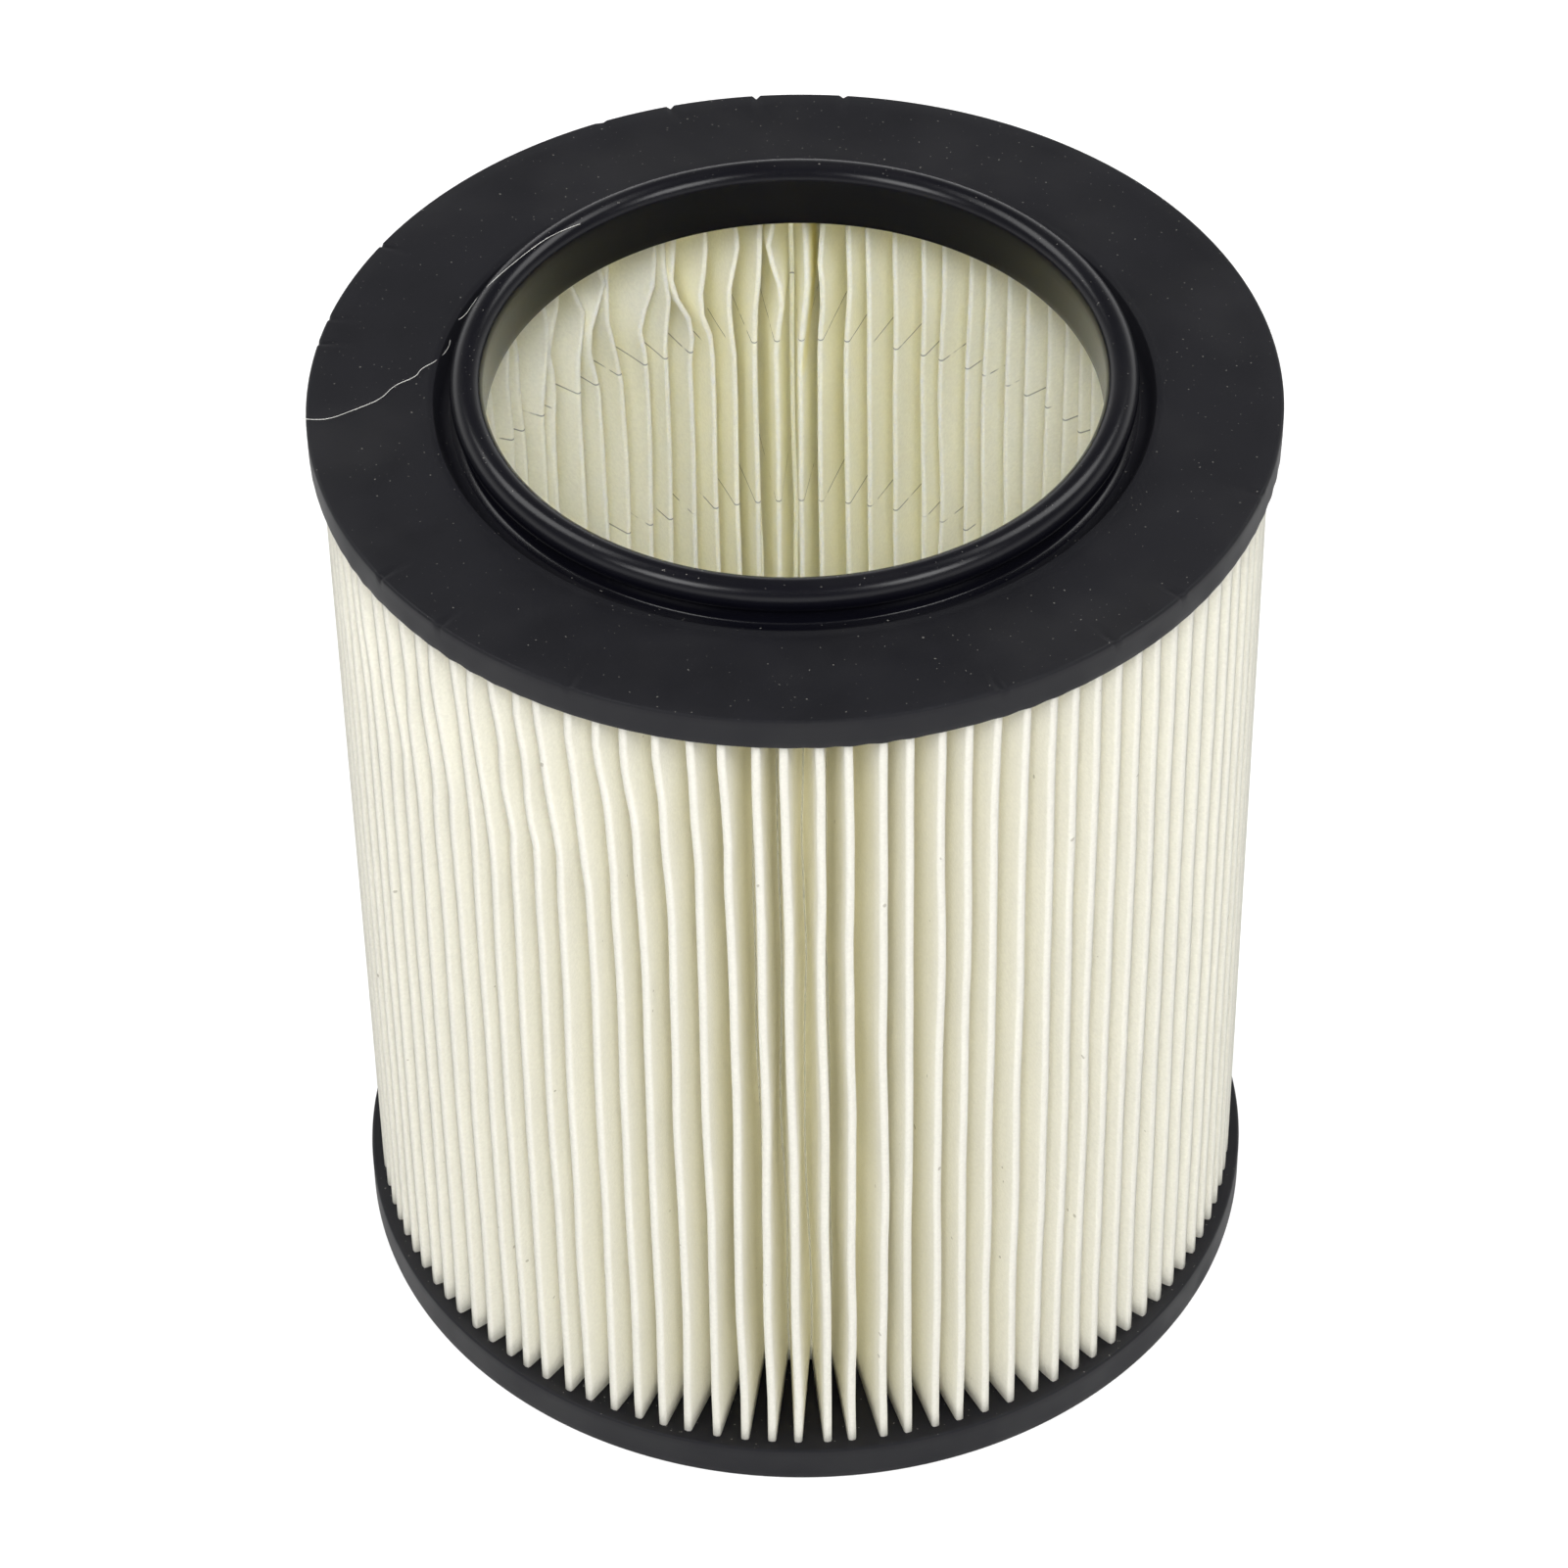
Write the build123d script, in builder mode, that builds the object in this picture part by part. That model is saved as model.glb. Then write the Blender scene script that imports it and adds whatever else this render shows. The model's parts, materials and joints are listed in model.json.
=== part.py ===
"""Pleated cartridge filter for a wet and dry vacuum cleaner.

A pleated paper ring is potted at both ends in moulded rubber end caps. The top cap has a wide opening with a
raised sealing lip, and the base cap is closed but for the stud hole at its middle. Millimetres, +Z up, with the
origin on the surface that the cartridge stands on, at the middle of the base.
"""

import os
from math import sqrt

from build123d import *

os.makedirs("parts", exist_ok=True)

# Both end caps
cap_radius = 90.0
edge_round = 0.6

# Top end cap: flat face, groove and sealing lip, from the opening outwards
face_height = 204.7
rim_height = 6.75
bore_radius = 57.2
bore_chamfer = 1.0
bead_radius = 3.1
bead_rise = 6.0
bead_overhang = 1.4
groove_depth = 2.5
groove_floor_width = 3.4
groove_slope_width = 1.4
potting_cover = 1.25

# Base end cap: closed, with a shallow well inside and a hole for the stud of the cage
base_height = 8.4
base_potting_cover = 5.0
base_floor_thickness = 5.0
well_wall_setback = 2.0
stud_hole_radius = 6.5

# Pleated media: one sheet, folded between an inner and an outer circle
pleat_count = 99
sheet_thickness = 0.7
tip_setback = 2.2
inner_fold_setback = 8.8
tip_inside_width = 0.5
inner_fold_width = 0.3

# Heights and circles that follow from the sizes above
rim_underside = face_height - rim_height
groove_height = face_height - groove_depth
media_bottom = base_potting_cover
media_top = groove_height - potting_cover
tip_circle = cap_radius - tip_setback
inner_fold_circle = bore_radius + inner_fold_setback


def corner_offset(first_normal, second_normal):
    """From the middle of the sheet at a corner to the corner of its skin, between two faces' normals."""
    return (first_normal + second_normal) * (sheet_thickness / 2 / (1 + first_normal.dot(second_normal)))


def pleat_line(side):
    """One pleat of the sheet's outer skin (side +1) or inner skin (side -1), with its tip along +X.

    A pleat is a narrow flat at the tip, a flank, a narrow flat at the inner fold, and the flank back out.
    """
    half_pitch = 180 / pleat_count
    tip_corner = Vector(tip_circle - sheet_thickness / 2, (tip_inside_width + sheet_thickness) / 2)
    inner_corner = Vector(inner_fold_circle + sheet_thickness / 2, -(inner_fold_width + sheet_thickness) / 2)
    inner_corner = inner_corner.rotate(Axis.Z, half_pitch)
    tip_normal = Vector(1, 0)
    inner_normal = tip_normal.rotate(Axis.Z, half_pitch)
    flank_normal = (inner_corner - tip_corner).normalized().rotate(Axis.Z, -90)

    tip_end = tip_corner + corner_offset(tip_normal, flank_normal) * side
    inner_start = inner_corner + corner_offset(flank_normal, inner_normal) * side
    tip_start = Vector(tip_end.X, -tip_end.Y)
    inner_end = Vector(inner_start.X, -inner_start.Y).rotate(Axis.Z, 2 * half_pitch)
    next_tip_start = tip_start.rotate(Axis.Z, 2 * half_pitch)
    with BuildLine() as line:
        Polyline(tip_start, tip_end, inner_start, inner_end, next_tip_start)
    return line.line


# Section of the folded sheet, for the media and for its pockets in both caps
outer_skin = pleat_line(+1)
inner_skin = pleat_line(-1)
with BuildSketch() as pleat_section:
    with BuildLine():
        with PolarLocations(0, pleat_count):
            add(outer_skin)
    make_face()
    with BuildLine():
        with PolarLocations(0, pleat_count):
            add(inner_skin)
    make_face(mode=Mode.SUBTRACT)

# Pleated media, potted in both caps
with BuildPart() as pleated_media:
    with BuildSketch(Plane.XY.offset(media_bottom)):
        add(pleat_section.sketch)
    extrude(amount=media_top - media_bottom)

# Top end cap: a ring with a groove, and a lip with a round bead beside the opening
bead_circle = bore_radius + bead_radius
bead_height = face_height + bead_rise - bead_radius
stem_circle = bore_radius + 2 * bead_radius - bead_overhang
groove_inner = stem_circle + groove_floor_width
groove_outer = groove_inner + groove_slope_width
stem_top = bead_height - sqrt(bead_radius**2 - (stem_circle - bead_circle) ** 2)

with BuildPart() as top_end_cap:
    with BuildSketch(Plane.XZ):
        with BuildLine():
            Polyline(
                (bore_radius, bead_height),
                (bore_radius, rim_underside + bore_chamfer),
                (bore_radius + bore_chamfer, rim_underside),
                (cap_radius, rim_underside),
                (cap_radius, face_height),
                (groove_outer, face_height),
                (groove_inner, groove_height),
                (stem_circle, groove_height),
                (stem_circle, stem_top),
            )
            ThreePointArc(
                (stem_circle, stem_top),
                (bead_circle, bead_height + bead_radius),
                (bore_radius, bead_height),
            )
        make_face()
    revolve(axis=Axis.Z)
    rim_edges = top_end_cap.edges().filter_by(GeomType.CIRCLE)
    fillet(rim_edges.filter_by(lambda edge: abs(edge.radius - cap_radius) < edge_round), radius=edge_round)
    with BuildSketch(Plane.XY.offset(rim_underside)):
        add(pleat_section.sketch)
    extrude(amount=media_top - rim_underside, mode=Mode.SUBTRACT)

# Base end cap: a disc with a shallow well inside the pleats and a stud hole
with BuildPart() as base_end_cap:
    with BuildSketch():
        Circle(cap_radius)
    extrude(amount=base_height)
    fillet(base_end_cap.edges().filter_by(GeomType.CIRCLE), radius=edge_round)
    with BuildSketch(Plane.XY.offset(base_floor_thickness)):
        Circle(inner_fold_circle - well_wall_setback)
    extrude(amount=base_height - base_floor_thickness, mode=Mode.SUBTRACT)
    with BuildSketch():
        Circle(stud_hole_radius)
    extrude(amount=base_floor_thickness, mode=Mode.SUBTRACT)
    with BuildSketch(Plane.XY.offset(media_bottom)):
        add(pleat_section.sketch)
    extrude(amount=base_height - media_bottom, mode=Mode.SUBTRACT)

pleated_media.part.label = "pleated_media"
export_step(pleated_media.part, "parts/pleated_media.step")

top_end_cap.part.label = "top_end_cap"
export_step(top_end_cap.part, "parts/top_end_cap.step")

base_end_cap.part.label = "base_end_cap"
export_step(base_end_cap.part, "parts/base_end_cap.step")
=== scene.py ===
# %% [markdown]
# # A pleated cartridge filter
#
# The object is a filter for a wet and dry vacuum cleaner: a ring of folded cream paper, cast at both ends
# into black rubber caps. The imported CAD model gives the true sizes, so everything here is measured from it.
# Blender adds what a solid can't say: worn rubber, soft paper with folds that wander, dust and light.

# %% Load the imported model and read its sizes
import json
from functools import partial
from math import cos, pi, radians, sin

import bpy
import numpy as np
from mathutils import Matrix, Vector


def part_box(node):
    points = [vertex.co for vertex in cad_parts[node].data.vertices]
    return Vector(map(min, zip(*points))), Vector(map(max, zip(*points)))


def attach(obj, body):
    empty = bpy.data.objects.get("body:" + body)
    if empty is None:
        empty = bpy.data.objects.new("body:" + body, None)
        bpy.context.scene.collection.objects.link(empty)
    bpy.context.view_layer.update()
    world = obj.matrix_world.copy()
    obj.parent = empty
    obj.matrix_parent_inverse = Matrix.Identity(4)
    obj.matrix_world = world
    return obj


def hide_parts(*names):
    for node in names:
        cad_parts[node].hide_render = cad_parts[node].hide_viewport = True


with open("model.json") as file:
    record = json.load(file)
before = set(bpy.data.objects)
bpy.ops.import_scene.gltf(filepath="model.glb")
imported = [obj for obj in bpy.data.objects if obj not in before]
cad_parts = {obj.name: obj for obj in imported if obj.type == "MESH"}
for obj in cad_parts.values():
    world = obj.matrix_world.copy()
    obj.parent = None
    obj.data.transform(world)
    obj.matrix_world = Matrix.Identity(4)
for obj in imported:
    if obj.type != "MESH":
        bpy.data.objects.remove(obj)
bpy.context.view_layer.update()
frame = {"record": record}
MM = 0.001

cap_low, cap_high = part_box("top_end_cap")
media_low, media_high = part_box("pleated_media")
mounts = {mount["name"]: mount for mount in frame["record"]["mounts"]}

cap_radius = (cap_high[0] - cap_low[0]) / 2
bore_radius = mounts["collar_bore"]["dims"]["r_mm"] * MM
stud_hole_radius = mounts["stud_hole"]["dims"]["r_mm"] * MM
rim_underside = cap_low[2]
lip_top = cap_high[2]
base_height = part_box("base_end_cap")[1][2]
tip_circle = (media_high[0] - media_low[0]) / 2
print("cap radius", round(cap_radius / MM, 2), "lip top", round(lip_top / MM, 2), "tips", round(tip_circle / MM, 2))


# %% A helper for objects
def new_object(name, data):
    """A new object in the scene, around a mesh, a curve, a lamp or a camera."""
    made = bpy.data.objects.new(name, data)
    bpy.context.scene.collection.objects.link(made)
    return made


# %% [markdown]
# ## The camera
#
# A camera can be dragged about until the picture looks right, or worked out from the picture. This one was
# worked out: both rims are circles of one size on one axis, and only one viewpoint makes both look as they do.
# It looks down by a little under 44 degrees, from about 1.1 m, and it is turned by one degree about its own axis.

# %% Place the camera
view_elevation = radians(43.69)
view_roll = radians(-0.99)
view_distance = 1.1212
view_target = Vector((-0.0032, 0.0, 0.1039))
sensor_width_mm = 36.0
lens_mm = 131.08

away = Vector((0, -cos(view_elevation), sin(view_elevation)))
rightward = Vector((1, 0, 0))
camera_up = away.cross(rightward)
camera_x = rightward * cos(view_roll) + camera_up * sin(view_roll)
camera_y = camera_up * cos(view_roll) - rightward * sin(view_roll)
camera_data = bpy.data.cameras.new("Photo camera")
camera_data.sensor_width = sensor_width_mm
camera_data.lens = lens_mm
camera_data.clip_end = 20
camera = new_object("Photo camera", camera_data)
camera.matrix_world = Matrix.Translation(view_target + away * view_distance) @ Matrix(
    (camera_x, camera_y, away)
).transposed().to_4x4()
bpy.context.scene.camera = camera
print("camera at", [round(value, 3) for value in camera.matrix_world.translation])

# %% [markdown]
# ## Helpers for node trees
#
# Materials and Geometry Nodes are both graphs. Writing `nodes.new` and `links.new` for each step hides the idea,
# so one helper makes a node and connects or sets its inputs in one line. The others are built on it: a step of
# arithmetic, a change of range, a noise, a mix of two colours and a new material.


# %% Node helpers
def add_node(tree, kind, inputs=None, **settings):
    """A new node with its settings made and its inputs linked or set, by name or by number."""
    node = tree.nodes.new(kind)
    for name, value in settings.items():
        setattr(node, name, value)
    for key, value in (inputs or {}).items():
        if isinstance(value, bpy.types.NodeSocket):
            tree.links.new(value, node.inputs[key])
        else:
            node.inputs[key].default_value = value
    return node


def math(tree, operation, *values, clamp=False):
    """One step of arithmetic on sockets or numbers, as a socket."""
    node = add_node(tree, "ShaderNodeMath", dict(enumerate(values)), operation=operation, use_clamp=clamp)
    return node.outputs[0]


def ramp(tree, value, low, high, to_low=0.0, to_high=1.0, smooth=True):
    """A value taken from the range low to high into the range to_low to to_high, and held at the ends."""
    kind = "SMOOTHSTEP" if smooth else "LINEAR"
    sockets = {"Value": value, "From Min": low, "From Max": high, "To Min": to_low, "To Max": to_high}
    return add_node(tree, "ShaderNodeMapRange", sockets, interpolation_type=kind).outputs["Result"]


def noise(tree, vector, scale, detail=2.0, roughness=0.5):
    """A smooth random value near 0.5 that depends on a place."""
    sockets = {"Vector": vector, "Scale": scale, "Detail": detail, "Roughness": roughness}
    return add_node(tree, "ShaderNodeTexNoise", sockets).outputs[0]


def mix_colour(tree, factor, first, second):
    """A colour between two others."""
    return add_node(tree, "ShaderNodeMix", {0: factor, 6: first, 7: second}, data_type="RGBA").outputs[2]


def new_material(name, **sockets):
    """A material with its shader's plain sockets set, and the tree, shader and object coordinates at hand."""
    material = bpy.data.materials.new(name)
    material.use_nodes = True
    tree = material.node_tree
    shader = tree.nodes["Principled BSDF"]
    for socket, value in sockets.items():
        shader.inputs[socket.replace("_", " ")].default_value = value
    place = add_node(tree, "ShaderNodeTexCoord").outputs["Object"]
    return material, tree, shader, place


def grey(level, blue=0.0):
    """A grey in linear light, a touch cooler for blue above 0."""
    return (level, level, level * (1 + blue), 1.0)


# %% [markdown]
# ## Black rubber
#
# Both caps are cast in soft black rubber. It is matt, with a faint mottle from the mould, a bloom of pale dust on
# the faces that look up, and bright specks of lint. Dust is a mask times a colour: a fine noise cut off high
# leaves only a few spots, and the upward part of the normal keeps them off the walls. The lip is smoother than the
# rest, and the rubber is dullest in the groove beside it.

# %% Rubber finish: colour and dust
dark_rubber = grey(0.0018, 0.9)
light_rubber = grey(0.0033, 0.9)
dust_colour = (0.45, 0.44, 0.41, 1.0)
dust_strength = 0.012
speck_colour = (0.62, 0.60, 0.54, 1.0)
speck_strength = 0.22

rubber, tree, shader, place = new_material("cap rubber", Specular_IOR_Level=0.4)
mottle = noise(tree, place, 60.0, 2.0, 0.6)
normal = add_node(tree, "ShaderNodeNewGeometry").outputs["Normal"]
looks_up = ramp(tree, add_node(tree, "ShaderNodeSeparateXYZ", {0: normal}).outputs["Z"], 0.75, 0.98)
bloom = math(tree, "MULTIPLY", ramp(tree, noise(tree, place, 24.0, 3.0, 0.65), 0.42, 0.75), looks_up)
specks = math(tree, "MULTIPLY", ramp(tree, noise(tree, place, 1500.0, 1.0, 0.4), 0.74, 0.79), looks_up)
body = mix_colour(tree, mottle, dark_rubber, light_rubber)
dusty = mix_colour(tree, math(tree, "MULTIPLY", bloom, dust_strength), body, dust_colour)
speckled = mix_colour(tree, math(tree, "MULTIPLY", specks, speck_strength), dusty, speck_colour)
tree.links.new(speckled, shader.inputs["Base Color"])

# %% Rubber finish: gloss and grain
lip_radii = (0.0640, 0.0634)
groove_radii = (0.0685, 0.0672)
top_cap_heights = (0.10, 0.15)
dull_roughness = (0.46, 0.58)
lip_roughness = 0.24
groove_extra_roughness = 0.25

across = add_node(tree, "ShaderNodeVectorMath", {0: place, 1: (1.0, 1.0, 0.0)}, operation="MULTIPLY").outputs[0]
from_axis = add_node(tree, "ShaderNodeVectorMath", {0: across}, operation="LENGTH").outputs["Value"]
up_high = ramp(tree, add_node(tree, "ShaderNodeSeparateXYZ", {0: place}).outputs["Z"], *top_cap_heights)
lip = math(tree, "MULTIPLY", ramp(tree, from_axis, *lip_radii), up_high)
dull = ramp(tree, mottle, 0.3, 0.7, *dull_roughness)
smoother = math(tree, "MULTIPLY", lip, math(tree, "SUBTRACT", lip_roughness, dull))
groove = math(tree, "MULTIPLY", ramp(tree, from_axis, *groove_radii), math(tree, "SUBTRACT", 1.0, lip))
rougher = math(tree, "MULTIPLY", groove, groove_extra_roughness)
tree.links.new(math(tree, "ADD", math(tree, "ADD", dull, smoother), rougher), shader.inputs["Roughness"])
fine = noise(tree, place, 900.0, 1.0, 0.6)
grain = math(tree, "ADD", math(tree, "MULTIPLY", fine, 0.5), math(tree, "MULTIPLY", mottle, 1.5))
bump = add_node(tree, "ShaderNodeBump", {"Strength": 0.04, "Distance": 0.4 * MM, "Height": grain})
tree.links.new(bump.outputs["Normal"], shader.inputs["Normal"])
print("rubber nodes", len(tree.nodes))

# %% [markdown]
# ## The two caps
#
# A cap is a turned shape, so it is a closed outline in radius and height, carried round the axis. Spinning an
# outline with a modifier would do; here each ring of points is worked out directly, because the rim isn't quite
# round: its lower edge swells a little over every pleat tip, and its upper edge has small nicks from the mould.


# %% Outline and lathe helpers
def arc(centre, radius, start, end, steps):
    """Points on an arc in radius and height, from one angle to another in degrees."""
    angles = np.radians(np.linspace(start, end, steps + 1))
    return [(centre[0] + radius * cos(a), centre[1] + radius * sin(a)) for a in angles]


def stretch(first, last, steps):
    """Points on a straight stretch, without its two ends."""
    shares = np.linspace(0, 1, steps + 1)[1:-1]
    return [tuple(np.array(first) * (1 - t) + np.array(last) * t) for t in shares]


def lathe(name, outline, segments, shape=None):
    """A closed turned mesh from a closed outline, with shape(angle, radius, height) to move its points."""
    radius, height = np.array(outline).T
    angle = np.linspace(0, 2 * pi, segments, endpoint=False)[:, None]
    radius = np.broadcast_to(radius, (segments, len(outline)))
    height = np.broadcast_to(height, (segments, len(outline)))
    if shape:
        radius, height = shape(angle, radius, height)
    points = np.stack([radius * np.cos(angle), radius * np.sin(angle), height], axis=2).reshape(-1, 3)
    ring = np.arange(segments)[:, None] * len(outline)
    step = np.arange(len(outline))[None, :]
    after = (step + 1) % len(outline)
    onward = np.roll(ring, -1, axis=0)
    faces = np.stack([ring + step, onward + step, onward + after, ring + after], axis=2).reshape(-1, 4)
    mesh = bpy.data.meshes.new(name)
    mesh.from_pydata(points.tolist(), [], faces.tolist())
    mesh.validate()
    mesh.shade_smooth()
    return new_object(name, mesh)


def finish_cap(piece, node):
    """Gives a cap its rubber, and lets it stand for its CAD node."""
    piece.data.materials.append(rubber)
    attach(piece, "root")
    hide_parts(node)
    print(piece.name, "faces", len(piece.data.polygons))


# %% Outline of the top cap: flat face, groove, and a lip with a round bead
pleat_count = 99
bead_radius = 3.1 * MM
bead_rise = 6.0 * MM
bead_overhang = 1.4 * MM
groove_depth = 2.5 * MM
groove_floor_width = 3.4 * MM
groove_slope_width = 1.4 * MM
edge_round = 0.6 * MM
corner_round = 0.35 * MM
cap_segments = pleat_count * 7

face_height = lip_top - bead_rise
bead_centre = (bore_radius + bead_radius, lip_top - bead_radius)
stem_radius = bore_radius + 2 * bead_radius - bead_overhang
groove_height = face_height - groove_depth
groove_inner = stem_radius + groove_floor_width
groove_outer = groove_inner + groove_slope_width
stem_angle = -np.degrees(np.arccos((stem_radius - bead_centre[0]) / bead_radius))

outline = stretch((bore_radius, bead_centre[1]), (bore_radius, rim_underside), 5)
outline += arc((bore_radius + edge_round, rim_underside + edge_round), edge_round, 180, 270, 3)
outline += stretch((bore_radius, rim_underside), (cap_radius, rim_underside), 6)
outline += arc((cap_radius - edge_round, rim_underside + edge_round), edge_round, -90, 0, 3)
outline += stretch((cap_radius, rim_underside), (cap_radius, face_height), 4)
outline += arc((cap_radius - edge_round, face_height - edge_round), edge_round, 0, 90, 4)
outline += stretch((cap_radius, face_height), (groove_outer, face_height), 6)
outline += arc((groove_outer, face_height - corner_round), corner_round, 90, 150, 3)
outline += [(groove_inner, groove_height), (stem_radius + corner_round, groove_height)]
outline += [(stem_radius, groove_height + corner_round)]
outline += arc(bead_centre, bead_radius, stem_angle, 180, 16)
outline = outline[::-1]
print("top cap outline points", len(outline))

# %% Top cap, with the pleat spacing that its swell follows, and its nicks
tip_phase = radians(-88.0)
spread_once = 0.12
spread_twice = 0.11
swell = 0.22 * MM
swell_height = 2.5 * MM
nick_angles = (83, 94, 105, 114, 150, 165, 170, 214, 225, 243, 293, 308, 319, 339)
nick_reach = 0.6 * MM
nick_half_width = 0.55 * MM
nick_height = 1.5 * MM
nicked_band = 1.2 * MM


def worn_rim(angle, radius, height):
    """Swells the rim's lower edge over each pleat tip and cuts the nicks in its upper edge."""
    outer = np.clip((radius - tip_circle) / (cap_radius - tip_circle), 0, 1)
    low = np.clip(1 - (height - rim_underside) / swell_height, 0, 1)
    from_back = angle - pi / 2
    even = angle - spread_once * np.sin(from_back) - spread_twice / 2 * np.sin(2 * from_back)
    wave = 0.5 + 0.5 * np.cos(pleat_count * (even - tip_phase))
    wave = wave * (0.55 + 0.45 * np.sin(11 * angle + 2 * np.sin(5 * angle)))
    height = height - swell * wave * outer * low
    radius = radius - swell * 0.5 * (1 - wave) * outer * low
    edge = np.clip(1 - (face_height - height) / nick_height, 0, 1) * (radius > cap_radius - nicked_band)
    for nick_angle in nick_angles:
        from_nick = np.abs((angle - radians(nick_angle) + pi) % (2 * pi) - pi) * cap_radius
        depth = nick_reach * np.clip(1 - from_nick / nick_half_width, 0, 1)
        radius = radius - depth * edge
        height = height - depth * edge
    return radius, height


top_cap = lathe("top_cap", outline, cap_segments, worn_rim)
finish_cap(top_cap, "top_end_cap")

# %% Base cap: a closed disc with a shallow well and the stud hole
floor_height = 5.0 * MM
inner_fold_setback = 8.8 * MM
well_wall_setback = 2.0 * MM
inner_fold_circle = bore_radius + inner_fold_setback
well_radius = inner_fold_circle - well_wall_setback

outline = [(stud_hole_radius, 0.0), (stud_hole_radius, floor_height)]
outline += stretch((stud_hole_radius, floor_height), (well_radius, floor_height), 5)
outline += [(well_radius, floor_height), (well_radius, base_height)]
outline += stretch((well_radius, base_height), (cap_radius, base_height), 4)
outline += arc((cap_radius - edge_round, base_height - edge_round), edge_round, 90, 0, 4)
outline += stretch((cap_radius, base_height), (cap_radius, 0.0), 4)
outline += arc((cap_radius - edge_round, edge_round), edge_round, 0, -90, 4)
outline += stretch((cap_radius, 0.0), (stud_hole_radius, 0.0), 6)
base_cap = lathe("base_cap", outline, cap_segments)
finish_cap(base_cap, "base_end_cap")

# %% [markdown]
# ## Filter paper
#
# The paper is a soft cream felt. Outside, it is a little grey at the tips and deeper and yellower down in the
# folds:
# that step is painted light, for the light that bounces from cream to cream and passes through the paper there.
# The very bottom of each fold is painted darker, as painted shade, or it would show as a bright line. The pleats
# carry an attribute called depth, 0 at a tip and 1 at an inner fold, which the finish reads.


# %% Paper finish
def paper_finish(name, tip_colour, fold_colour_with_painted_light, bottom_colour_with_painted_shade):
    """Cream filter paper, from its colour at a tip to a fold colour with painted light and, at the fold's bottom,
    painted shade.
    """
    material, tree, shader, place = new_material(name, Roughness=0.9, Specular_IOR_Level=0.2)
    depth = add_node(tree, "ShaderNodeAttribute", attribute_name="depth").outputs["Fac"]
    cloud = noise(tree, place, 45.0, 2.0, 0.6)
    fibre = noise(tree, place, 1400.0, 1.0, 0.65)
    # Painted light: with depth the colour moves from the tip colour to the lighter, yellower fold colour; the cloud
    # is the paper's own uneven tone.
    share = math(tree, "ADD", ramp(tree, depth, 0.0, 0.75), math(tree, "MULTIPLY", cloud, 0.16))
    share = math(tree, "SUBTRACT", share, 0.08, clamp=True)
    paper = mix_colour(tree, share, tip_colour, fold_colour_with_painted_light)
    # Painted shade: near the bottom of each fold the colour turns to the darker bottom colour.
    paper = mix_colour(tree, ramp(tree, depth, 0.76, 0.92, 0.0, 0.85), paper, bottom_colour_with_painted_shade)
    shade = ramp(tree, fibre, 0.2, 0.8, 0.94, 1.04, smooth=False)
    scaled = add_node(tree, "ShaderNodeVectorMath", {0: paper, "Scale": shade}, operation="SCALE")
    return material, tree, shader, place, scaled.outputs[0], fibre


# %% Outside of the paper: painted light in the folds, painted shade at their bottoms, and a few dark flecks
# Painted light: the fold colour is lighter and yellower than the tip colour, for the light down in the folds.
tip_cream = (0.74, 0.725, 0.65, 1.0)
fold_cream_with_painted_light = (0.955, 0.935, 0.805, 1.0)
# Painted shade at the very bottom of each fold.
fold_bottom_painted_shade = (0.58, 0.575, 0.51, 1.0)
fleck_colour = (0.25, 0.22, 0.16, 1.0)
fleck_strength = 0.5

paper_outside, tree, shader, place, colour, fibre = paper_finish(
    "filter paper outside", tip_cream, fold_cream_with_painted_light, fold_bottom_painted_shade
)
fleck = ramp(tree, noise(tree, place, 420.0, 1.0, 0.4), 0.80, 0.815)
colour = mix_colour(tree, math(tree, "MULTIPLY", fleck, fleck_strength), colour, fleck_colour)
tree.links.new(colour, shader.inputs["Base Color"])
bump = add_node(tree, "ShaderNodeBump", {"Strength": 0.25, "Distance": 0.3 * MM, "Height": fibre})
tree.links.new(bump.outputs["Normal"], shader.inputs["Normal"])
print("paper outside nodes", len(tree.nodes))

# %% [markdown]
# Inside, the paper has two thin grey score lines round it, left by the machine that folds it. They keep one height,
# and only look like rows of Vs because the folds carry them in and out. They are broken, so a noise gates them.
# The inside is clean, so it has one colour from tip to fold, and some light passes through it.

# %% Inside of the paper, with its score lines
inside_cream = (0.98, 0.96, 0.785, 1.0)
score_heights = (0.162, 0.120)
score_half_width = 0.16 * MM
score_wobble = 2 * MM
score_colour = (0.20, 0.20, 0.18, 1.0)
score_strength = 0.75

paper_inside, tree, shader, place, colour, _ = paper_finish(
    "filter paper inside", inside_cream, inside_cream, inside_cream
)
shader.inputs["Subsurface Weight"].default_value = 1.0
shader.inputs["Subsurface Scale"].default_value = 1.0 * MM
shader.inputs["Subsurface Radius"].default_value = (1.0, 0.95, 0.8)
axis = add_node(tree, "ShaderNodeSeparateXYZ", {0: place}).outputs
wobble = math(tree, "MULTIPLY", math(tree, "SUBTRACT", noise(tree, place, 30.0), 0.5), score_wobble)
wavy_height = math(tree, "ADD", axis["Z"], wobble)
gate = ramp(tree, noise(tree, place, 160.0, 2.0, 0.6), 0.38, 0.48)
lines = 0.0
for score_height in score_heights:
    apart = math(tree, "ABSOLUTE", math(tree, "SUBTRACT", wavy_height, score_height))
    lines = math(tree, "ADD", lines, ramp(tree, apart, score_half_width * 1.6, score_half_width * 0.6))
lines = math(tree, "MULTIPLY", lines, gate, clamp=True)
colour = mix_colour(tree, math(tree, "MULTIPLY", lines, score_strength), colour, score_colour)

# %% A streak of glue on the inside, at the back
streak_heights = (0.152, 0.172)
streak_sideways = (2.2 * MM, 4.4 * MM)
streak_edges = (1.1 * MM, 0.3 * MM)
streak_foot = (0.150, 0.156)
streak_back = (0.05, 0.06)
streak_colour = (0.86, 0.78, 0.42, 1.0)
streak_strength = 0.6

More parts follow.
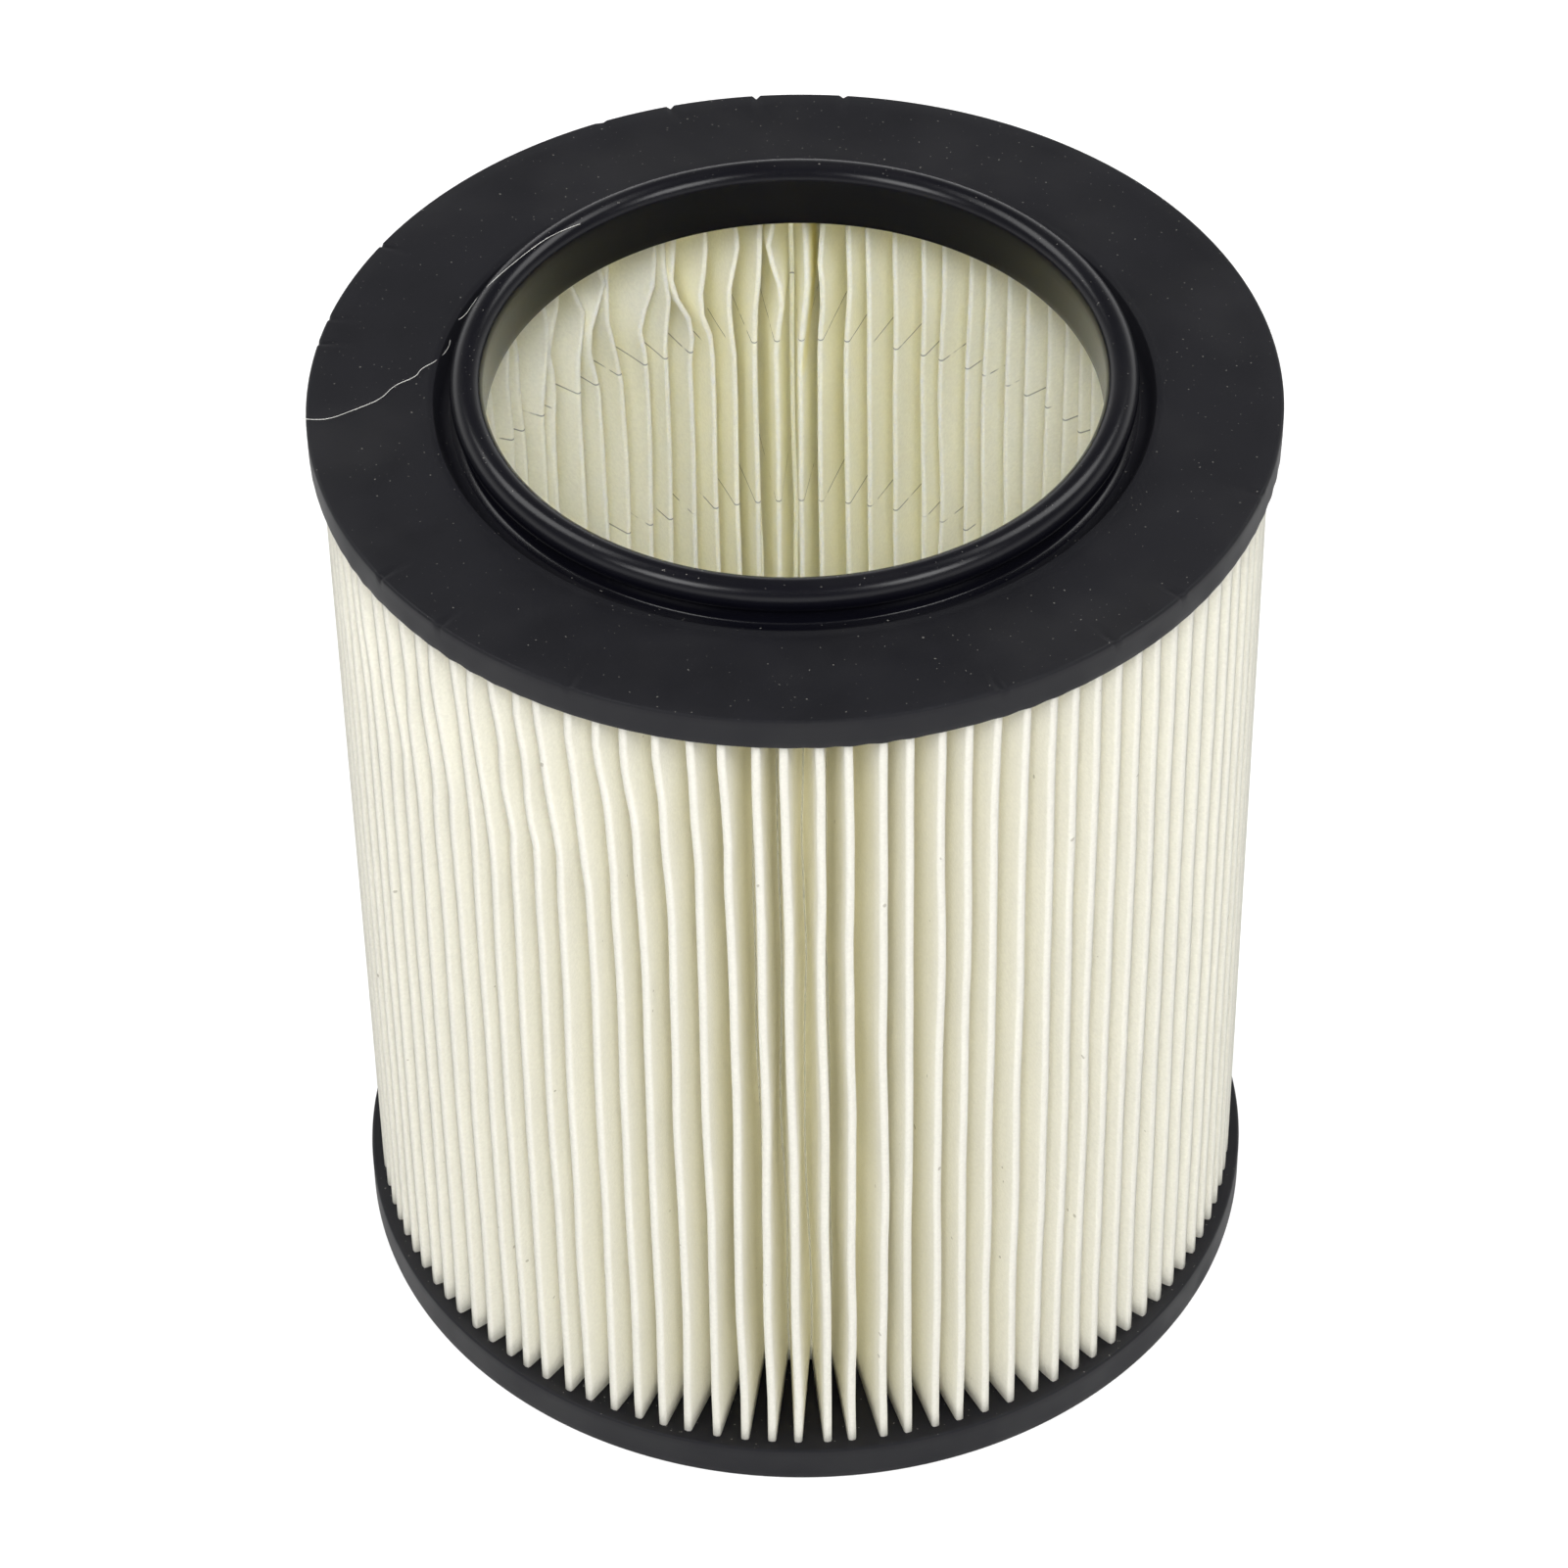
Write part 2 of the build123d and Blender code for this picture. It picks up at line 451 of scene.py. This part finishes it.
streak_x = ramp(tree, axis["Z"], *streak_heights, *streak_sideways)
beside = math(tree, "ABSOLUTE", math(tree, "SUBTRACT", axis["X"], streak_x))
streak = math(tree, "MULTIPLY", ramp(tree, beside, *streak_edges), ramp(tree, axis["Z"], *streak_foot))
streak = math(tree, "MULTIPLY", streak, ramp(tree, axis["Y"], *streak_back))
colour = mix_colour(tree, math(tree, "MULTIPLY", streak, streak_strength), colour, streak_colour)
tree.links.new(colour, shader.inputs["Base Color"])
print("paper inside nodes", len(tree.nodes))

# %% [markdown]
# ## The pleats
#
# One long sheet is folded to and fro between two circles. It could be drawn once and copied round, but then every
# fold would be the same, and paper isn't. A Geometry Nodes tree starts from a flat grid with so many columns to a
# pleat, and moves each point to its place: round the tip's small arc, straight down the flank, and round the inner
# fold's arc. Each tip and each inner fold has its own random shift, and a noise makes both wander with height.

# %% Sizes of the folds
sheet_thickness = 0.36 * MM
tip_bend = 0.65 * MM
inner_bend = 0.4 * MM
columns_per_pleat = 14
rows = 32
row_crowding = 1.25
tip_share = 2 / 7
inner_share = 5 / 7
bend_angle = radians(86)
tip_flatness = 0.55
weld_distance = 0.00002

# %% Where the folds are bent out of true: patches as a middle and a reach in degrees, heights in metres
lean_patch = (212, 66)
lean_heights = (0.158, 0.190)
kink_heights = (0.150, 0.158)
kink_bends_per_metre = 90.0
crumple_patch = (112, 42)
crumple_heights = (0.160, 0.176)
crumple_bends_per_metre = 75.0
calm_patch = (91, 28)
calm_share = 0.3
gather_patch = (90, 75)
gather_middle = 91
gather_half_angle = radians(14)
wanders_per_metre = 18.0
wander_per_fold = 0.43

# %% Pleat tree: named inputs
pleats = bpy.data.node_groups.new("Pleated paper", "GeometryNodeTree")
interface = pleats.interface
interface.new_socket("Geometry", in_out="OUTPUT", socket_type="NodeSocketGeometry")
fold_values = {}
for name, kind, value in (
    ("Pleats", "Int", pleat_count),
    ("Columns per pleat", "Int", columns_per_pleat),
    ("Rows", "Int", rows),
    ("Bottom", "Float", media_low[2]),
    ("Top", "Float", media_high[2]),
    ("Tip circle", "Float", tip_circle - tip_bend - sheet_thickness / 2),
    ("Tip bend", "Float", tip_bend),
    ("Inner circle", "Float", inner_fold_circle + inner_bend + sheet_thickness / 2),
    ("Inner bend", "Float", inner_bend),
    ("First tip angle", "Float", tip_phase),
    ("Tip scatter", "Float", 0.09),
    ("Inner scatter", "Float", 0.22),
    ("Tip wander", "Float", 0.35),
    ("Inner wander", "Float", 0.6),
    ("Lean", "Float", -0.5),
    ("Kink", "Float", 0.3),
    ("Crumple", "Float", 1.35),
    ("Gather", "Float", 0.45),
    ("Seed", "Int", 4),
):
    fold_values[interface.new_socket(name, in_out="INPUT", socket_type="NodeSocket" + kind).identifier] = value
material_identifier = interface.new_socket(
    "Material", in_out="INPUT", socket_type="NodeSocketMaterial"
).identifier
given = add_node(pleats, "NodeGroupInput").outputs
calc = partial(math, pleats)
span = partial(ramp, pleats)
print("pleat tree inputs", len(fold_values) + 1)

# %% Pleat tree: a flat grid, and where each of its points is on its pleat
column_count = calc("MULTIPLY", given["Pleats"], given["Columns per pleat"])
column_points = calc("ADD", column_count, 1.0)
grid_sockets = {"Size X": 1.0, "Size Y": 1.0, "Vertices X": column_points, "Vertices Y": given["Rows"]}
grid = add_node(pleats, "GeometryNodeMeshGrid", grid_sockets)
position = add_node(pleats, "GeometryNodeInputPosition").outputs[0]
flat = add_node(pleats, "ShaderNodeSeparateXYZ", {0: position}).outputs
column = calc("ROUND", calc("MULTIPLY", calc("ADD", flat["X"], 0.5), column_count))
pleats_along = calc("DIVIDE", column, given["Columns per pleat"])
pleat = calc("FLOOR", pleats_along)
share = calc("FRACT", pleats_along)
crest = calc("FLOOR", calc("ADD", calc("ADD", pleat, share), 0.5))
side = calc("SUBTRACT", calc("MULTIPLY", calc("LESS_THAN", share, 0.5), 2.0), 1.0)
down = calc("SUBTRACT", 1.0, calc("ABSOLUTE", calc("MULTIPLY_ADD", share, 2.0, -1.0)))

# Rows are closer together near the top, where the paper is bent most
rise = calc("SUBTRACT", 1.0, calc("POWER", calc("SUBTRACT", 0.5, flat["Y"]), row_crowding))
row_height = span(rise, 0.0, 1.0, given["Bottom"], given["Top"], smooth=False)


# %% Pleat tree: helpers for random folds
def own_random(number, seed):
    """A random value from 0 to 1 that belongs to a number and a seed."""
    return add_node(pleats, "FunctionNodeRandomValue", {"ID": number, "Seed": seed}, data_type="FLOAT").outputs[1]


def fold_shift(number, scatter, wander, seed_step):
    """How far one fold stands from its even place, in pleats: its own scatter, and a wander with height."""
    number = calc("FLOORED_MODULO", number, given["Pleats"])
    seed = calc("ADD", given["Seed"], seed_step)
    own = calc("SUBTRACT", own_random(number, seed), 0.5)
    own = calc("MULTIPLY", own, calc("MULTIPLY", scatter, 2.0))
    across = calc("MULTIPLY", number, wander_per_fold)
    upward = calc("MULTIPLY", row_height, wanders_per_metre)
    spot = add_node(pleats, "ShaderNodeCombineXYZ", {0: across, 1: upward, 2: seed}).outputs[0]
    drift = calc("SUBTRACT", noise(pleats, spot, 1.0, 1.5), 0.5)
    return calc("ADD", own, calc("MULTIPLY", drift, wander))


def crease(number, bends_per_metre, seed_step):
    """A random zigzag with height, from -0.5 to 0.5 and straight between its bends, of each fold's own."""
    number = calc("FLOORED_MODULO", number, given["Pleats"])
    seed = calc("ADD", given["Seed"], seed_step)
    reach = calc("MULTIPLY_ADD", row_height, bends_per_metre, calc("MULTIPLY", number, 0.37))
    bend = calc("FLOOR", reach)
    bend_number = calc("MULTIPLY_ADD", number, 97.0, bend)
    ends = [own_random(calc("ADD", bend_number, step), seed) for step in (0.0, 1.0)]
    between = calc("SUBTRACT", reach, bend)
    return calc("SUBTRACT", span(between, 0.0, 1.0, *ends, smooth=False), 0.5)


# %% Pleat tree: helpers for angles
def even_angle(turns):
    """The angle of a count of evenly spaced pleats from the first tip."""
    return calc("MULTIPLY_ADD", calc("DIVIDE", turns, given["Pleats"]), 2 * pi, given["First tip angle"])


def angle_from(number, middle):
    """How far a fold stands from an angle in degrees, as a signed angle in radians."""
    return calc("WRAP", calc("SUBTRACT", even_angle(number), radians(middle)), -pi, pi)


def patch(number, middle, reach):
    """1 at the pleats round an angle, falling to 0 at a reach to each side, both in degrees."""
    return span(calc("ABSOLUTE", angle_from(number, middle)), radians(reach), radians(reach * 0.3))


def around(radial, sideways, turns):
    """A point at a radius and a step to the side, turned about the axis by a count of pleats."""
    arm = add_node(pleats, "ShaderNodeCombineXYZ", {0: radial, 1: sideways}).outputs[0]
    even = even_angle(turns)
    from_back = calc("SUBTRACT", even, pi / 2)
    once = calc("MULTIPLY", calc("SINE", from_back), spread_once)
    twice = calc("MULTIPLY", calc("SINE", calc("MULTIPLY", from_back, 2.0)), spread_twice / 2)
    turn = calc("ADD", even, calc("ADD", once, twice))
    turned = add_node(pleats, "ShaderNodeVectorRotate", {"Vector": arm, "Angle": turn}, rotation_type="Z_AXIS")
    return turned.outputs[0]


# %% Pleat tree: the tip's arc, with tips that lean and kink at the upper left
tip_seed, kink_seed, crumple_seed, inner_seed = 0, 3, 5, 15

tip_turn = span(down, 0.0, tip_share, 0.0, bend_angle, smooth=False)
flat_cosine = calc("POWER", calc("COSINE", tip_turn), tip_flatness)
flat_sine = calc("POWER", calc("SINE", tip_turn), tip_flatness)
tip_out = calc("MULTIPLY", flat_cosine, given["Tip bend"])
tip_side = calc("MULTIPLY", calc("MULTIPLY", flat_sine, given["Tip bend"]), side)
lean = calc("MULTIPLY", span(row_height, *lean_heights, smooth=False), given["Lean"])
kink = calc("MULTIPLY", crease(crest, kink_bends_per_metre, kink_seed), span(row_height, *kink_heights))
kink = calc("MULTIPLY", kink, given["Kink"])
bent = calc("MULTIPLY", calc("ADD", lean, kink), patch(crest, *lean_patch))
tip_shift = calc("ADD", fold_shift(crest, given["Tip scatter"], given["Tip wander"], tip_seed), bent)
tip_place = calc("ADD", crest, tip_shift)
on_tip = around(calc("ADD", given["Tip circle"], tip_out), tip_side, tip_place)

# %% Pleat tree: the inner fold's arc, with a crumpled patch under the top cap at the back
inner_turn = span(down, inner_share, 1.0, bend_angle, 0.0, smooth=False)
inner_in = calc("MULTIPLY", calc("COSINE", inner_turn), given["Inner bend"])
inner_side = calc("MULTIPLY", calc("SINE", inner_turn), given["Inner bend"])
inner_side = calc("MULTIPLY", inner_side, calc("MULTIPLY", side, -1.0))
inner_shift = fold_shift(pleat, given["Inner scatter"], given["Inner wander"], inner_seed)
inner_shift = calc("MULTIPLY", inner_shift, span(patch(pleat, *calm_patch), 0.0, 1.0, 1.0, calm_share))
crumpled = calc("MULTIPLY", patch(pleat, *crumple_patch), span(row_height, *crumple_heights, smooth=False))
crumpled = calc("MULTIPLY", crumpled, crease(pleat, crumple_bends_per_metre, crumple_seed))
crumpled = calc("MULTIPLY", crumpled, given["Crumple"])
inner_shift = calc("ADD", inner_shift, crumpled)
drawn_back = calc("MULTIPLY", given["Gather"], -1.0)
from_gather = angle_from(pleat, gather_middle)
gathered = span(from_gather, -gather_half_angle, gather_half_angle, given["Gather"], drawn_back)
gathered = calc("MULTIPLY", gathered, patch(pleat, *gather_patch))
inner_shift = calc("ADD", inner_shift, gathered)
inner_place = calc("ADD", calc("ADD", pleat, 0.5), inner_shift)
on_inner = around(calc("SUBTRACT", given["Inner circle"], inner_in), inner_side, inner_place)

# %% Pleat tree: the flank between them, and the finished sheet
along = span(down, tip_share, inner_share, smooth=False)
folded = add_node(pleats, "ShaderNodeMix", {0: along, 4: on_tip, 5: on_inner}, data_type="VECTOR").outputs[1]
lift = add_node(pleats, "ShaderNodeCombineXYZ", {2: row_height}).outputs[0]
lifted = add_node(pleats, "ShaderNodeVectorMath", {0: folded, 1: lift}, operation="ADD").outputs[0]
depth_sockets = {"Geometry": grid.outputs["Mesh"], "Name": "depth", "Value": down}
marked = add_node(pleats, "GeometryNodeStoreNamedAttribute", depth_sockets, data_type="FLOAT", domain="POINT")
moved = add_node(pleats, "GeometryNodeSetPosition", {"Geometry": marked.outputs[0], "Position": lifted})
closed = add_node(pleats, "GeometryNodeMergeByDistance", {"Geometry": moved.outputs[0], "Distance": weld_distance})
smooth = add_node(pleats, "GeometryNodeSetShadeSmooth", {"Geometry": closed.outputs[0]})
real = add_node(pleats, "GeometryNodeRealizeInstances", {"Geometry": smooth.outputs[0]})
clad = add_node(pleats, "GeometryNodeSetMaterial", {"Geometry": real.outputs[0], "Material": given["Material"]})
add_node(pleats, "NodeGroupOutput", {"Geometry": clad.outputs[0]})
print("pleat tree nodes", len(pleats.nodes))

# %% Turn the tree into a sheet with a thickness
holder = new_object("pleat_holder", bpy.data.meshes.new("pleat_holder"))
folding = holder.modifiers.new("Pleats", "NODES")
folding.node_group = pleats
for identifier, value in fold_values.items():
    folding[identifier] = value
folding[material_identifier] = paper_outside
thickness = holder.modifiers.new("Sheet", "SOLIDIFY")
thickness.thickness = sheet_thickness
thickness.offset = 0.0
sheet_mesh = bpy.data.meshes.new_from_object(holder.evaluated_get(bpy.context.evaluated_depsgraph_get()))
bpy.data.objects.remove(holder)
print("sheet faces", len(sheet_mesh.polygons))

# %% Give each skin of the sheet its own finish
sheet_mesh.materials.clear()
sheet_mesh.materials.append(paper_outside)
sheet_mesh.materials.append(paper_inside)
skin_faces = (pleat_count * columns_per_pleat) * (rows - 1)
skins = np.zeros(len(sheet_mesh.polygons), dtype=np.int32)
first_face = sheet_mesh.polygons[rows // 2]
faces_out = first_face.normal.dot(Vector((first_face.center.x, first_face.center.y, 0))) > 0
skins[skin_faces : 2 * skin_faces] = 1
if not faces_out:
    skins[: 2 * skin_faces] = 1 - skins[: 2 * skin_faces]
sheet_mesh.polygons.foreach_set("material_index", skins)
pleated_paper = new_object("pleated_paper", sheet_mesh)
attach(pleated_paper, "root")
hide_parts("pleated_media")
print("first skin faces out", faces_out, "skin faces", skin_faces)

# %% [markdown]
# ## Lint
#
# One pale hair of lint clings to the cap. It lies across the face, dips over the groove and runs along the bead.
# Its route is given as angles and radii, as one would measure it on a bench. A ray shot straight down on to the cap
# at each point gives the height, so the hair lies on the rubber wherever it goes. Its loose end hangs just past the
# rim, where the ray finds nothing, and keeps the height of the flat face.

# %% Route of the lint, in degrees and millimetres
lint_route = (
    (184, 91), (185, 87), (183, 81), (181, 76), (178, 74), (176, 70), (174, 69.5), (172, 67), (168, 66),
    (165, 66), (162, 68.5), (160, 66), (159, 63), (155, 61.5), (150, 60.5), (144, 60), (138, 59.5), (133, 58.5),
)
lint_radius = 0.07 * MM
lint_clearance = 0.1 * MM
above_cap = 1.0

lint_points = []
lint_height = face_height
for route_angle, route_radius in lint_route:
    x = route_radius * MM * cos(radians(route_angle))
    y = route_radius * MM * sin(radians(route_angle))
    hit, touched, _, _ = top_cap.ray_cast(Vector((x, y, above_cap)), Vector((0, 0, -1)))
    if hit:
        lint_height = touched.z
    lint_points.append((x, y, lint_height + lint_radius + lint_clearance))
print("lint points", len(lint_points))

# %% A hair of lint on the cap
lint_curve = bpy.data.curves.new("lint", "CURVE")
lint_curve.dimensions = "3D"
lint_curve.bevel_depth = lint_radius
lint_curve.bevel_resolution = 1
lint_curve.resolution_u = 8
line = lint_curve.splines.new("NURBS")
line.points.add(len(lint_points) - 1)
for point, spot in zip(line.points, lint_points):
    point.co = (*spot, 1.0)
line.order_u = 3
line.use_endpoint_u = True
lint_holder = new_object("lint_holder", lint_curve)
lint_mesh = bpy.data.meshes.new_from_object(lint_holder.evaluated_get(bpy.context.evaluated_depsgraph_get()))
bpy.data.objects.remove(lint_holder)
lint_finish, tree, shader, place = new_material("pale lint", Roughness=0.7, Specular_IOR_Level=0.2)
pale = mix_colour(tree, noise(tree, place, 300.0), (0.30, 0.30, 0.29, 1.0), (0.75, 0.74, 0.70, 1.0))
tree.links.new(pale, shader.inputs["Base Color"])
lint_mesh.materials.clear()
lint_mesh.materials.append(lint_finish)
lint_mesh.shade_smooth()
lint = new_object("lint_hair", lint_mesh)
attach(lint, "root")
print("lint faces", len(lint_mesh.polygons))

# %% [markdown]
# ## Floor, background and light
#
# A studio product shot stands on white. The floor and the world look white to the camera, and give the object only
# a plain, even light. Reflections see them too, but the floor at half its strength and the ceiling dim, or the flat
# black faces would turn grey. Four soft lamps, two in front and two behind, draw the bright lines along the rims.
# Three more stay out of reflections: a high one in front, which reaches down inside the pleats, a low one in front
# for the valleys between them, and one that stands for the light from the backdrop.

# %% Floor
floor_reach = 6.0
floor_drop = -0.2 * MM
floor_grey = 0.45
floor_glow = 0.62
floor_mirrored = 0.5

floor_mesh = bpy.data.meshes.new("floor")
corner_signs = ((-1, -1), (1, -1), (1, 1), (-1, 1))
floor_corners = [(x * floor_reach, y * floor_reach, floor_drop) for x, y in corner_signs]
floor_mesh.from_pydata(floor_corners, [], [(0, 1, 2, 3)])
floor = new_object("floor", floor_mesh)
floor_material = bpy.data.materials.new("pale floor")
floor_material.use_nodes = True
tree = floor_material.node_tree
tree.nodes.clear()
plain = add_node(tree, "ShaderNodeBsdfDiffuse", {"Color": grey(floor_grey)})
glow = add_node(tree, "ShaderNodeEmission", {"Color": grey(1.0), "Strength": floor_glow})
lit = add_node(tree, "ShaderNodeAddShader", {0: plain.outputs[0], 1: glow.outputs[0]})
rays = add_node(tree, "ShaderNodeLightPath").outputs
mirrored = math(tree, "MULTIPLY", rays["Is Glossy Ray"], floor_mirrored)
seen = math(tree, "MAXIMUM", rays["Is Camera Ray"], math(tree, "MAXIMUM", mirrored, rays["Is Transmission Ray"]))
either = add_node(tree, "ShaderNodeMixShader", {0: seen, 1: plain.outputs[0], 2: lit.outputs[0]})
add_node(tree, "ShaderNodeOutputMaterial", {"Surface": either.outputs[0]})
floor_mesh.materials.append(floor_material)
print("floor nodes", len(tree.nodes))

# %% World
horizon_light, zenith_light = 0.54, 0.10
ceiling_dim = 0.15

world = bpy.data.worlds.new("studio")
bpy.context.scene.world = world
world.use_nodes = True
tree = world.node_tree
tree.nodes.clear()
rays = add_node(tree, "ShaderNodeLightPath").outputs
mirrored = math(tree, "MAXIMUM", rays["Is Glossy Ray"], rays["Is Transmission Ray"])
seen = math(tree, "MAXIMUM", rays["Is Camera Ray"], mirrored)
direction = add_node(tree, "ShaderNodeTexCoord").outputs["Generated"]
skyward = add_node(tree, "ShaderNodeSeparateXYZ", {0: direction}).outputs["Z"]
ceiling = math(tree, "MAXIMUM", rays["Is Camera Ray"], ramp(tree, skyward, 0.1, 0.5, 1.0, ceiling_dim))
room_light = ramp(tree, skyward, 0.0, 0.7, horizon_light, zenith_light)
room = add_node(tree, "ShaderNodeBackground", {"Color": grey(1.0), "Strength": room_light})
white = add_node(tree, "ShaderNodeBackground", {"Color": grey(1.0), "Strength": ceiling})
either = add_node(tree, "ShaderNodeMixShader", {0: seen, 1: room.outputs[0], 2: white.outputs[0]})
add_node(tree, "ShaderNodeOutputWorld", {"Surface": either.outputs[0]})
print("world nodes", len(tree.nodes))

# %% Lamps
lamp_target = Vector((0, 0, 0.1))


def soft_lamp(name, spot, width, depth, power, in_reflections):
    """A large soft lamp that looks at the middle of the object."""
    data = bpy.data.lights.new(name, "AREA")
    data.shape = "RECTANGLE"
    data.size = width
    data.size_y = depth
    data.energy = power
    lamp = new_object(name, data)
    aim = lamp_target - Vector(spot)
    lamp.matrix_world = Matrix.Translation(spot) @ aim.to_track_quat("-Z", "Y").to_matrix().to_4x4()
    lamp.visible_glossy = in_reflections


soft_lamp("left softbox", (-1.12, -1.12, 1.85), 0.8, 0.8, 11.5, True)
soft_lamp("right softbox", (1.12, -1.12, 1.85), 0.8, 0.8, 11.5, True)
soft_lamp("back left softbox", (-1.2, 0.8, 2.0), 1.0, 1.0, 10, True)
soft_lamp("back right softbox", (1.2, 0.8, 2.0), 1.0, 1.0, 10, True)
soft_lamp("front softbox", (0.0, -1.45, 1.85), 0.9, 0.7, 38, False)
soft_lamp("low front fill", (0.0, -1.7, 0.5), 0.7, 0.6, 5.5, False)
soft_lamp("lit backdrop", (0.0, 1.7, 0.5), 1.6, 0.8, 24, False)
print("lamps", len(bpy.data.lights))

# %% [markdown]
# Light goes from fold to fold many times before it leaves the paper, so it is followed for more bounces than usual.

# %% Light paths and colour
bpy.context.scene.cycles.diffuse_bounces = 9
bpy.context.scene.cycles.max_bounces = 12
bpy.context.scene.view_settings.view_transform = "Standard"
